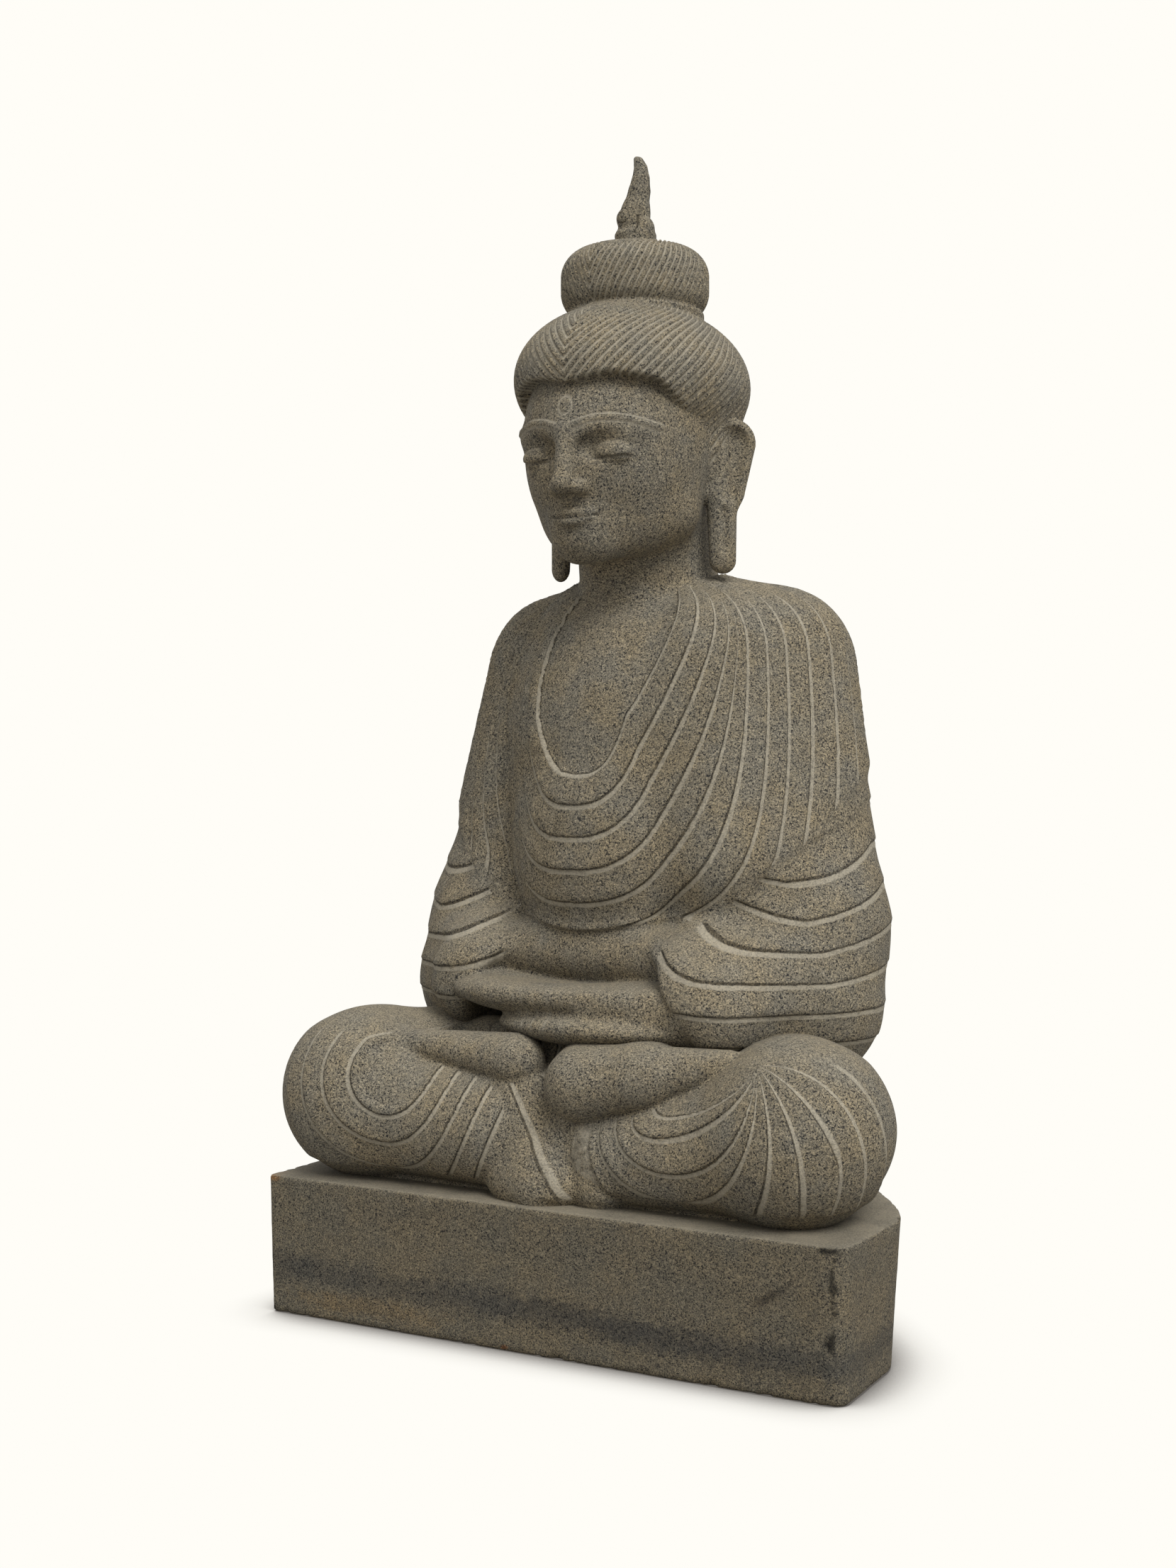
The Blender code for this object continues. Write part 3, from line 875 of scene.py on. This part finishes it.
def makeWeather():
    # dust and painted top light where the stone faces up, broad colour clouds, and level chisel scratches
    group, given, made = newGroup(
        "stoneWeather", {"Position": None, "Dust": 0.5}, ("Dust Mask", "Patches", "Scratches"))
    normal = addNode(group, "ShaderNodeNewGeometry").outputs["Normal"]
    facing = addNode(group, "ShaderNodeSeparateXYZ", {0: normal}).outputs["Z"]
    # paler as the stone faces up: partly dust, partly painted top light
    upward = ramp(group, facing, [(0.45, 0.0), (0.95, 1.0)])
    for label, scale, detail, begins, full in (("Patches", (24, 24, 24), 5, 0.38, 0.62),
                                               ("Scratches", (55, 55, 800), 3, 0.54, 0.68)):
        stretch = addNode(group, "ShaderNodeMapping", {"Vector": given["Position"], "Scale": scale})
        cloud = cloudNoise(group, stretch.outputs[0], 1, detail, 0.6)
        chosen = ramp(group, cloud[0], [(begins, 0.0), (full, 1.0)])
        feed(group, made[label], chosen)
        if label == "Patches":
            uneven = calc(group, "MULTIPLY_ADD", chosen, 0.4, 0.6)
    dustAndTopLit = calc(group, "MULTIPLY", upward, uneven)
    feed(group, made["Dust Mask"], calc(group, "MULTIPLY", dustAndTopLit, given["Dust"], clamp=True))
    return group


def makeCarvedLines():
    # a pale chiselled band and a painted crease shadow beside every carved line
    group, given, made = newGroup(
        "carvedLines", {"Position": None, "Turn": 0.0, "Mask": 0.0, "Light Place": 0.04, "Light Width": 0.04,
                        "Dark Place": 0.975, "Dark Width": 0.02}, ("Light", "Dark"))
    worn = cloudNoise(group, given["Position"], 130, 4)[0]
    turn = calc(group, "ADD", given["Turn"], calc(group, "MULTIPLY_ADD", worn, 0.05, -0.025))
    begun = calc(group, "GREATER_THAN", turn, -0.1)
    shown = calc(group, "MULTIPLY", begun, given["Mask"], clamp=True)
    patchy = ramp(group, worn, [(0.3, 0.6), (0.5, 1.0)])
    for label in ("Light", "Dark"):
        moved = calc(group, "ADD", calc(group, "SUBTRACT", turn, given[label + " Place"]), 0.5)
        away = calc(group, "ABSOLUTE", calc(group, "SUBTRACT", calc(group, "FRACT", moved), 0.5))
        soft = ramp(group, calc(group, "DIVIDE", away, given[label + " Width"]), [(0.55, 1.0), (1.0, 0.0)])
        feed(group, made[label], calc(group, "MULTIPLY", calc(group, "MULTIPLY", soft, shown), patchy))
    return group


def makeStain():
    # one soft-edged, ragged blotch at a place on the stone
    group, given, made = newGroup(
        "stoneStain", {"Position": None, "Centre": None, "Size": (0.01, 0.01, 0.01), "Slope": 0.0, "Ragged": 0.8},
        ("Mask",))
    offset = vectorCalc(group, "SUBTRACT", given["Position"], given["Centre"])
    x, y, z = addNode(group, "ShaderNodeSeparateXYZ", {0: offset}).outputs
    level = calc(group, "SUBTRACT", z, calc(group, "MULTIPLY", x, given["Slope"]))
    leaning = addNode(group, "ShaderNodeCombineXYZ", {0: x, 1: y, 2: level}).outputs[0]
    reach = vectorCalc(group, "LENGTH", vectorCalc(group, "DIVIDE", leaning, given["Size"]))
    cloud = cloudNoise(group, given["Position"], 160, 5)[0]
    uneven = calc(group, "MULTIPLY", calc(group, "SUBTRACT", cloud, 0.5), given["Ragged"])
    edge = calc(group, "ADD", reach, calc(group, "MULTIPLY", uneven, 2.5))
    feed(group, made["Mask"], ramp(group, edge, [(0.35, 1.0), (1.0, 0.0)]))
    return group


def placeGroup(tree, group, spot, **values):
    sockets = {name.replace("_", " "): value for name, value in values.items()}
    return addNode(tree, "ShaderNodeGroup", {"Position": spot, **sockets}, node_tree=group).outputs


def stored(tree, name):
    return addNode(tree, "ShaderNodeAttribute", attribute_name=name).outputs["Fac"]


def newMaterial(name):
    made = bpy.data.materials.new(name)
    made.use_nodes = True
    return made, made.node_tree, made.node_tree.nodes["Principled BSDF"].inputs


def finishShader(tree, shader, values):
    for label, value in values.items():
        feed(tree, shader[label], value)


def stoneMaterial(name, look):
    made, tree, shader = newMaterial(name)
    spot = addNode(tree, "ShaderNodeTexCoord").outputs["Object"]
    grain = placeGroup(tree, stoneGroups["speckle"], spot, Grain_Scale=look["grain"], Flecks=look["flecks"])
    worn = placeGroup(tree, stoneGroups["weather"], spot, Dust=look["dustAndTopLight"])
    light, paintedShadow = stored(tree, "tool"), stored(tree, "crease")
    patchTone = mixColour(tree, worn["Patches"], look["coolPatch"], look["warmPatch"])
    colour = mixColour(tree, 1.0, grain["Color"], patchTone, "MULTIPLY")
    if look["carved"]:
        # the fold lines and the hair lines, read from the numbers stored on the mesh
        folded, haired = [placeGroup(tree, stoneGroups["lines"], spot, Turn=stored(tree, turn), Mask=stored(tree, mask),
                                     **lines)
                          for turn, mask, lines in (("turn", "foldMask", foldLines), ("strand", "hairMask", hairLines))]
        light = calc(tree, "MAXIMUM", calc(tree, "MAXIMUM", folded["Light"], haired["Light"]), light)
        paintedShadow = calc(tree, "MAXIMUM", folded["Dark"], paintedShadow)
    else:
        colour = beddingVeins(tree, spot, colour)
    # up-facing stone turns paler: partly dust, partly painted top light
    dustAndLitTone = mixColour(tree, 0.35, look["dustAndTopLightColour"], colour)
    colour = mixColour(tree, worn["Dust Mask"], colour, dustAndLitTone)
    chalk = mixColour(tree, 0.3, look["toolColour"], colour)
    colour = mixColour(tree, calc(tree, "MULTIPLY", light, look["toolStrength"], clamp=True), colour, chalk)
    # painted shadow: the colour is darkened along the carved creases, eye slits, mouth line and flame cuts
    shade = mixColour(tree, 1.0, colour, look["creaseShadowTint"], "MULTIPLY")
    colour = mixColour(tree, calc(tree, "MULTIPLY", paintedShadow, look["creaseShadowStrength"], clamp=True), colour, shade)
    scratches = calc(tree, "MULTIPLY", worn["Scratches"], look["scratch"])
    height = calc(tree, "SUBTRACT", grain["Height"], scratches)
    pits = addNode(tree, "ShaderNodeBump", {"Height": height, "Strength": look["bump"], "Distance": 0.0006})
    finishShader(tree, shader, {"Base Color": colour, "Roughness": look["roughness"], "Specular IOR Level": 0.25,
                                "Normal": pits.outputs[0]})
    return made


def beddingVeins(tree, spot, colour):
    # a blue-grey vein sinks gently through the block; rust and black blotches sit on its edges
    for centre, size, slope, ragged, tint, strength in plinthStains:
        stain = placeGroup(tree, stoneGroups["stain"], spot, Centre=centre, Size=size, Slope=slope, Ragged=ragged)
        tinted = mixColour(tree, 1.0, colour, tint, "MULTIPLY")
        colour = mixColour(tree, calc(tree, "MULTIPLY", stain["Mask"], strength), colour, tinted)
    return colour


foldLines = {"Light_Place": 0.066, "Light_Width": 0.094, "Dark_Place": 0.962, "Dark_Width": 0.04}
hairLines = {"Light_Place": 0.5, "Light_Width": 0.19, "Dark_Place": 0.0, "Dark_Width": 0.02}
figureLook = {
    "grain": 920.0, "flecks": 1.0, "dustAndTopLight": 0.5, "roughness": 0.84, "bump": 0.7, "scratch": 0.45,
    "coolPatch": (1.07, 1.06, 1.06), "warmPatch": (1.24, 1.14, 0.99), "dustAndTopLightColour": (0.26, 0.235, 0.182),
    "toolColour": (0.385, 0.352, 0.28), "toolStrength": 0.92,
    # tint and strength of the painted shadow in the carved creases
    "creaseShadowTint": (0.26, 0.25, 0.24), "creaseShadowStrength": 0.8, "carved": True,
}
# the plinth's top is made paler still: partly dust, partly painted top light
plinthLook = dict(figureLook, grain=1000.0, dustAndTopLight=0.85, bump=0.4, scratch=0.15, carved=False,
                  coolPatch=(0.68, 0.66, 0.63), warmPatch=(0.82, 0.75, 0.65))
# centre, size, slope, raggedness, tint and strength of each blotch
plinthStains = (
    ((0.0, -0.15, 0.036), (3.0, 0.4, 0.015), -0.024, 0.55, (0.52, 0.56, 0.66), 0.72),
    ((-0.17, -0.15, 0.017), (0.09, 0.05, 0.012), -0.02, 0.7, (1.25, 1.08, 0.86), 0.7),
    ((0.1, -0.15, 0.03), (0.2, 0.4, 0.015), -0.1, 0.7, (0.62, 0.64, 0.7), 0.6),
    ((0.208, -0.15, 0.076), (0.024, 0.05, 0.006), 0.62, 0.8, (0.42, 0.42, 0.44), 0.9),
    ((-0.12, -0.15, 0.103), (0.045, 0.05, 0.008), 0.3, 0.9, (0.66, 0.68, 0.72), 0.6),
    ((0.26, -0.15, 0.117), (0.014, 0.01, 0.0035), 0.0, 0.6, (0.1, 0.1, 0.1), 0.9),
    ((0.261, -0.15, 0.09), (0.004, 0.01, 0.026), 0.0, 0.95, (0.16, 0.16, 0.16), 0.85),
    ((0.26, -0.15, 0.048), (0.005, 0.01, 0.011), 0.0, 0.9, (0.1, 0.1, 0.1), 0.9),
    ((-0.269, -0.148, 0.118), (0.012, 0.02, 0.0045), 0.0, 0.6, (1.55, 0.9, 0.45), 0.85),
    ((-0.029, -0.15, 0.003), (0.005, 0.01, 0.003), 0.0, 0.5, (1.6, 0.75, 0.35), 0.85),
    ((-0.27, -0.15, 0.003), (0.006, 0.01, 0.005), 0.0, 0.6, (0.12, 0.12, 0.12), 0.85),
)


def steelMaterial():
    made, tree, shader = newMaterial("dowelSteel")
    spot = addNode(tree, "ShaderNodeTexCoord").outputs["Object"]
    stretch = addNode(tree, "ShaderNodeMapping", {"Vector": spot, "Scale": (900, 900, 60)})
    lines = cloudNoise(tree, stretch.outputs[0], 1, 3)[0]
    finishShader(tree, shader, {
        "Base Color": ramp(tree, lines, [(0.3, (0.4, 0.4, 0.4)), (0.7, (0.62, 0.62, 0.61))]),
        "Roughness": ramp(tree, lines, [(0.3, 0.28), (0.7, 0.45)]), "Metallic": 1.0})
    return made


plinth = {
    "halfWidth": 0.2725, "front": -0.15, "step": 0.0042, "edge": 0.0022, "corner": (0.011, 0.009),
    "rear": ((0.2725, -0.036), (0.264, -0.014), (0.252, 0.006), (0.226, 0.045), (0.196, 0.084),
             (0.155, 0.117), (0.1, 0.14), (0.04, 0.15)),
    "roundings": 14, "underInset": 0.003, "rearInset": 0.012,
    "frontRough": 0.0004, "rearRough": 0.0018, "fineRough": 0.00015,
    "chipReach": 0.006, "chipStart": 0.34, "chipDepth": 0.007,
}


def plinthOutline():
    rear = list(plinth["rear"])
    half, front, (chamferX, chamferY) = plinth["halfWidth"], plinth["front"], plinth["corner"]
    ring = np.array([(half - chamferX, front), (half, front + chamferY)] + rear
                    + [(-x, y) for x, y in reversed(rear)] + [(-half, front)])
    lengths = np.hypot(*(np.roll(ring, -1, axis=0) - ring).T)
    total = lengths.sum()
    count = int(total / plinth["step"])
    starts = np.concatenate([[0], np.cumsum(lengths)])
    marks = np.arange(count) * total / count
    closed = np.vstack([ring, ring[:1]])
    x, y = (np.interp(marks, starts, closed[:, axis]) for axis in range(2))
    # the rear is rounded by averaging; the front corners stay crisp
    for weight in [fade(y, -0.06, -0.02)] * plinth["roundings"] + [0.7]:
        x, y = (a + ((np.roll(a, 1) + np.roll(a, -1)) / 2 - a) * weight for a in (x, y))
    return x, y


def ringFaces(rows, count, closed=False):
    # quads between neighbouring rings of points; closed joins the last ring to the first
    faces = []
    for k in range(rows if closed else rows - 1):
        for i in range(count):
            j, up = (i + 1) % count, (k + 1) % rows
            faces.append((k * count + i, k * count + j, up * count + j, up * count + i))
    return faces


def makePlinth():
    x, y = plinthOutline()
    count = len(x)
    tangent = np.stack([np.roll(x, -1) - np.roll(x, 1), np.roll(y, -1) - np.roll(y, 1)])
    tangent /= np.hypot(*tangent)
    outX, outY = tangent[1], -tangent[0]
    if (outX * x + outY * y).sum() < 0:
        outX, outY = -outX, -outY
    back = (y - plinth["front"]) / 0.3
    rings, edge = [], plinth["edge"]
    levels = [(0.0, edge), (edge, 0.0)] + [(v, 0.0) for v in np.arange(0.006, 0.1165, 0.0042)]
    levels += [(stoneTop - edge, 0.0), (stoneTop - 0.0007, 0.0007), (stoneTop, edge)]
    for z, inward in levels:
        taper = (plinth["underInset"] + plinth["rearInset"] * back) * (1 - z / stoneTop)
        ring = []
        for i in range(count):
            place = Vector((x[i], y[i], z))
            swell = plinth["frontRough"] + plinth["rearRough"] * max(back[i] - 0.25, 0)
            rough = noise.fractal(place * 16, 1.0, 2.0, 4) * swell
            rough += noise.fractal(place * 140, 1.0, 2.0, 3) * plinth["fineRough"]
            nearEdge = max(0, 1 - min(z, stoneTop - z) / plinth["chipReach"])
            corner = abs(noise.fractal(place * 75 + Vector((7, 3, 1)), 0.9, 2.0, 3))
            chip = max(0, corner - plinth["chipStart"]) * plinth["chipDepth"] * nearEdge
            offset = -taper[i] - inward + min(rough, 0.0012) - chip
            ring.append((x[i] + outX[i] * offset, y[i] + outY[i] * offset, z))
        rings.append(ring)

    def closing(base, z):
        # top and bottom close with shrinking rings
        return [[(px * share, py * share, z) for px, py, _ in base] for share in (0.97, 0.9, 0.75, 0.5, 0.25)]

    rings = closing(rings[0], 0.0)[::-1] + rings + closing(rings[-1], stoneTop)
    points = [p for ring in rings for p in ring]
    ends = [tuple(range(count))[::-1], tuple(range(len(points) - count, len(points)))]
    block = meshObject("plinthStone", points, ringFaces(len(rings), count) + ends)
    block.data.set_sharp_from_angle(angle=math.radians(50))
    return block


flame = {
    "foot": 0.9353, "cell": 0.0011,
    "spine": (((-0.0005, 0.95), 0.015), ((-0.0005, 0.961), 0.0128), ((0.0012, 0.97), 0.011),
              ((0.0045, 0.985), 0.0086), ((0.006, 0.996), 0.0064), ((0.0058, 1.005), 0.0045),
              ((0.0035, 1.0115), 0.0026), ((0.0012, 1.014), 0.0012)),
    "lobe": ((0.0118, 0.02, 0.95), (0.0074, 0.01, 0.011)),
    "scroll": ((-0.004, 0.014, 0.96), (0.0092, 0.008, 0.0092)),
    "curl": (-0.0055, 0.9605), "curlPitch": 0.0046, "notch": 0.0085, "counts": (50, 50, 80),
}


def flameField(p):
    foot, spine = flame["foot"], flame["spine"]
    horn = fuseAll([limb(p, (a[0], crownY, a[1]), ra, (b[0], crownY, b[1]), rb, flat=(1, 1.1, 1))
                    for (a, ra), (b, rb) in zip(spine, spine[1:])], 0.006)
    shape = fuse(drum(p, (0.001, crownY, foot + 0.006), 0.0178, 0.006, 0.0018), horn, 0.008)
    shape = fuse(shape, ball(p, *flame["lobe"]), 0.002)
    shape = fuse(shape, ball(p, *flame["scroll"]), 0.003)
    drilled = drum(p, (0, crownY, foot), 0.0045, 0.0225, 0.0003)
    return np.maximum(np.maximum(shape, -drilled), foot - p[2])


def flameToWorld(index):
    cell = flame["cell"]
    x, y = (index[axis] - 24 for axis in range(2))
    return np.stack([x * cell + 0.002, y * cell + crownY, index[2] * cell + flame["foot"] - 0.004]).astype(np.float32)


def makeFlame():
    thing, points, normal = skinned("flameFinial", flameField, flameToWorld, flame["counts"], flame["cell"])
    x, y, z = points
    frontSide = 1 - fade(y, crownY - 0.004, crownY + 0.002)
    dx, dz = x - flame["curl"][0], z - flame["curl"][1]
    curl, spiral = np.hypot(dx, dz), np.arctan2(dz, dx) / (2 * math.pi)
    cut = line((curl / flame["curlPitch"] - spiral) % 1.0 - 0.5, 0.13) * (1 - fade(curl, 0.0085, 0.0095)) * frontSide
    notch = line(x - flame["notch"], 0.0008) * fade(z, 0.943, 0.945) * (1 - fade(z, 0.96, 0.962)) * frontSide
    writePoints(thing, points + normal * (-0.0008 * cut - 0.001 * notch))
    setMask(thing, "tool", 0.25 * cut)
    # painted shade in the side notch and along the spiral cut
    setMask(thing, "crease", np.maximum(notch, 0.4 * cut))
    return thing


seat = {
    "steps": 64,
    # radius and height round the outline, from inside the bore and up over the pad
    "outline": ((0.0004, 0.912), (0.0045, 0.912), (0.0045, 0.9344), (0.0051, 0.935), (0.0172, 0.935),
                (0.018, 0.9343), (0.0186, 0.9315), (0.0186, 0.909), (0.0004, 0.909)),
}


def makeSeat():
    # low drilled pad on the topknot that the flame stands on
    points = []
    for radius, z in seat["outline"]:
        for turn in np.arange(seat["steps"]) * 2 * math.pi / seat["steps"]:
            points.append((radius * math.cos(turn), crownY + radius * math.sin(turn), z))
    pad = meshObject("topknotSeat", points, ringFaces(len(seat["outline"]), seat["steps"], closed=True))
    pad.data.set_sharp_from_angle(angle=math.radians(40))
    return pad


studio = {
    "camera": (0.8537, -1.5396, 0.484), "turn": 30.0, "lens": 46.25, "shift": -0.0158,
    "white": (1.0, 0.982, 0.93), "bounce": (0.3, 0.285, 0.26), "ambient": (1.0, 0.99, 0.97),
    "ambientStrength": 0.74,
    "sunFrom": (0.75, -0.52, 1.05), "sunStrength": 3.0, "sunAngle": 34.0, "sunColour": (1.0, 0.985, 0.955),
    # reach and tones of the painted contact shadow on the floor
    "contactShadowReach": 0.06,
    "contactShadowTones": ((0.42, (0.12, 0.11, 0.1)), (0.6, (0.5, 0.48, 0.45)), (0.78, (0.86, 0.84, 0.79)),
                     (0.97, (1.0, 0.982, 0.93))),
    "floorSize": 12.0,
}


def makeFloorPaint():
    # plain pale floor: even white to the eye, with a painted contact shadow only where the plinth meets it
    paint, tree, shader = newMaterial("floorPaint")
    seen = addNode(tree, "ShaderNodeLightPath").outputs["Is Camera Ray"]
    contactShadowAO = addNode(tree, "ShaderNodeAmbientOcclusion", {"Distance": studio["contactShadowReach"]}, samples=16)
    # painted contact shadow: occlusion dims the floor's glow near the plinth
    soft = ramp(tree, contactShadowAO.outputs["AO"], studio["contactShadowTones"])
    finishShader(tree, shader, {
        "Base Color": mixColour(tree, seen, studio["bounce"], (0, 0, 0)),
        "Emission Color": mixColour(tree, seen, (0, 0, 0), soft),
        "Emission Strength": 1.0, "Roughness": 1.0, "Specular IOR Level": 0.0})
    return paint


def makeFloor():
    half = studio["floorSize"] / 2
    made = bpy.data.meshes.new("paleFloor")
    made.from_pydata([(-half, -half, 0), (half, -half, 0), (half, half, 0), (-half, half, 0)], [], [(0, 1, 2, 3)])
    made.materials.append(makeFloorPaint())
    floor = bpy.data.objects.new("paleFloor", made)
    scene.collection.objects.link(floor)


def makeLight():
    scene.world = bpy.data.worlds.new("studioWorld")
    scene.world.use_nodes = True
    tree = scene.world.node_tree
    seen = addNode(tree, "ShaderNodeLightPath").outputs["Is Camera Ray"]
    ambient = studio["ambientStrength"]
    finishShader(tree, tree.nodes["Background"].inputs, {
        "Color": mixColour(tree, seen, studio["ambient"], studio["white"]),
        "Strength": calc(tree, "MULTIPLY_ADD", seen, 1 - ambient, ambient)})
    sun = bpy.data.lights.new("softKey", "SUN")
    sun.energy, sun.angle = studio["sunStrength"], math.radians(studio["sunAngle"])
    sun.color = studio["sunColour"]
    lamp = bpy.data.objects.new("softKey", sun)
    lamp.rotation_euler = Vector(studio["sunFrom"]).to_track_quat("Z", "Y").to_euler()
    scene.collection.objects.link(lamp)
    scene.view_settings.view_transform = "Standard"


def makeCamera():
    lens = bpy.data.cameras.new("camera")
    lens.sensor_fit = "VERTICAL"
    lens.sensor_height = 36
    lens.lens, lens.shift_y = studio["lens"], studio["shift"]
    camera = bpy.data.objects.new("camera", lens)
    camera.location = studio["camera"]
    camera.rotation_euler = (math.radians(90), 0, math.radians(studio["turn"]))
    scene.collection.objects.link(camera)
    scene.camera = camera


makeFloor()
makeLight()
makeCamera()
print("studio ready")
stoneGroups = {"speckle": makeSpeckle(), "weather": makeWeather(), "lines": makeCarvedLines(), "stain": makeStain()}
figureStone = stoneMaterial("figureStone", figureLook)
plinthFinish = stoneMaterial("plinthFinish", plinthLook)
print("materials ready")

for maker, finish, bodyName, node in (
        (makeFigure, figureStone, "statue_block", "statue_block"),
        (makeLegs, figureStone, "statue_block", "statue_block"),
        (makePlinth, plinthFinish, "statue_block", "statue_block"),
        (makeSeat, figureStone, "statue_block", "statue_block"),
        (makeFlame, figureStone, "flame", "flame_finial")):
    piece = maker()
    piece.data.materials.append(finish)
    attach(piece, bodyName)
    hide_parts(node)
    print("made", piece.name)

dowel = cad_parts["finial_dowel"]
steel = steelMaterial()
if dowel.material_slots:
    dowel.material_slots[0].material = steel
else:
    dowel.data.materials.append(steel)
